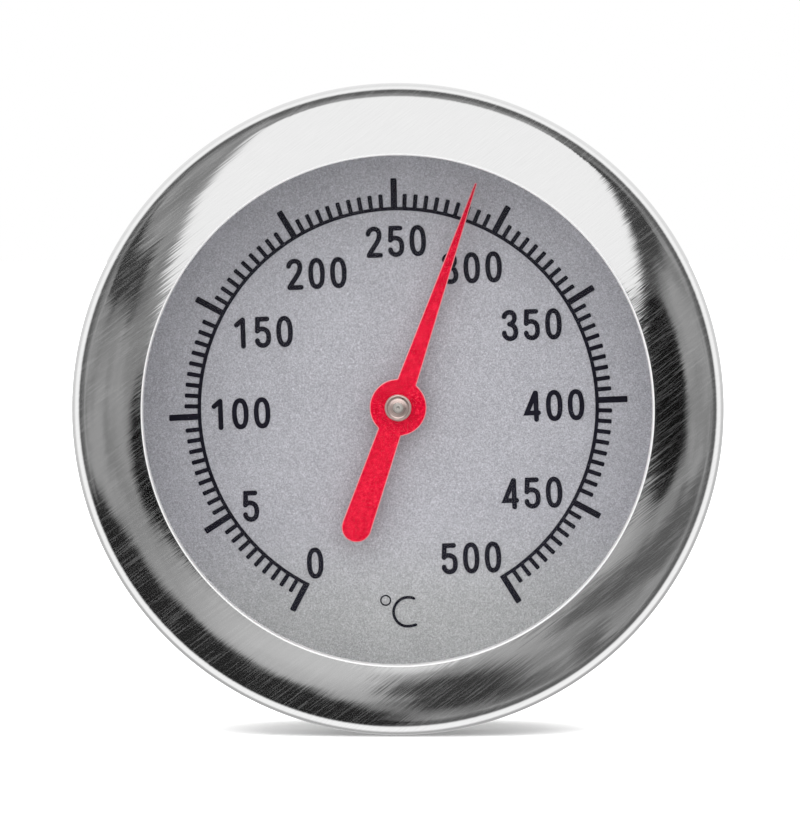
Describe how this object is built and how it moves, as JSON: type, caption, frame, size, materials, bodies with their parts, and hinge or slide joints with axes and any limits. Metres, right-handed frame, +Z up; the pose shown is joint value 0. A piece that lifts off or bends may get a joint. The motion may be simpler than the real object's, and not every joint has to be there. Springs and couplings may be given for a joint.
{
  "type": "oven thermometer",
  "caption": "Round dial oven thermometer with a brushed steel bezel, red pointer, Celsius scale, threaded rear fitting with lock nut and a short bimetal stem.",
  "frame": {"origin": "centre of the seat, the rear face of the hexagon collar that bears on the oven's wall, on the instrument's axis", "axes": "+Y along the stem from the seat to its tip, so the dial looks towards -Y; +Z up, through the middle of the scale; +X to the right as the reader sees it"},
  "size_m": [0.063, 0.0925, 0.063],
  "materials": {
    "bezel_steel": "satin-brushed stainless steel with a bright lip and edge",
    "lens_glass": "clear, polished",
    "seal_rubber": "pale grey high-temperature silicone seal",
    "case_steel": "drawn stainless steel, fine turned grain",
    "dull_aluminium": "dull",
    "dial_silver": "fine silver-grey grain",
    "dial_ink": "matt black ink, slightly worn",
    "pointer_red": "semi-matt red lacquer",
    "bush_nickel": "dull nickel",
    "inner_steel": "ground",
    "bearing_brass": "turned",
    "coil_strip": "rolled strip",
    "stem_steel": "fine drawn stainless steel, slightly heat tinted",
    "fitting_steel": "turned stainless steel",
    "nut_zinc": "zinc plated",
    "washer_zinc": "stamped, zinc plated"
  },
  "bodies": {
    "root": {"bezel": "bezel_steel", "lens": "lens_glass", "lens_gasket": "seal_rubber", "case": "case_steel", "spacer_ring": "dull_aluminium", "dial_plate": "dial_silver", "dial_print": "dial_ink", "upper_bearing": "bearing_brass", "lower_bearing": "bearing_brass", "bimetal_coil": "coil_strip", "stem_tube": "stem_steel", "stem_tip": "stem_steel", "threaded_bush": "fitting_steel", "neck_seal": "seal_rubber", "case_nut": "nut_zinc"},
    "pointer_assembly": {"pointer": "pointer_red", "pointer_bush": "bush_nickel", "spindle": "inner_steel", "thrust_collar": "bearing_brass", "coil_collar": "inner_steel"},
    "washer": {"washer": "washer_zinc"},
    "lock_nut": {"lock_nut": "nut_zinc"}
  },
  "joints": [
    {"name": "pointer_turn", "type": "hinge", "parent": "root", "child": "pointer_assembly", "pos_m": [0, 0, 0], "axis": [0, 1, 0], "range_deg": [-171.6, 129], "stiffness_Nm_per_rad": 0.0002, "deforming": ["bimetal_coil"]},
    {"name": "nut_travel", "type": "slide", "parent": "root", "child": "washer", "axis": [0, 1, 0], "range_m": [-0.003, 0.007]},
    {"name": "nut_turn", "type": "hinge", "parent": "washer", "child": "lock_nut", "pos_m": [0, 0, 0], "axis": [0, 1, 0], "range_deg": [-1080, 2520]}
  ],
  "couplings": [
    {"joint": "nut_travel", "follows": "nut_turn", "m_per_rad": 0.00015915}
  ]
}
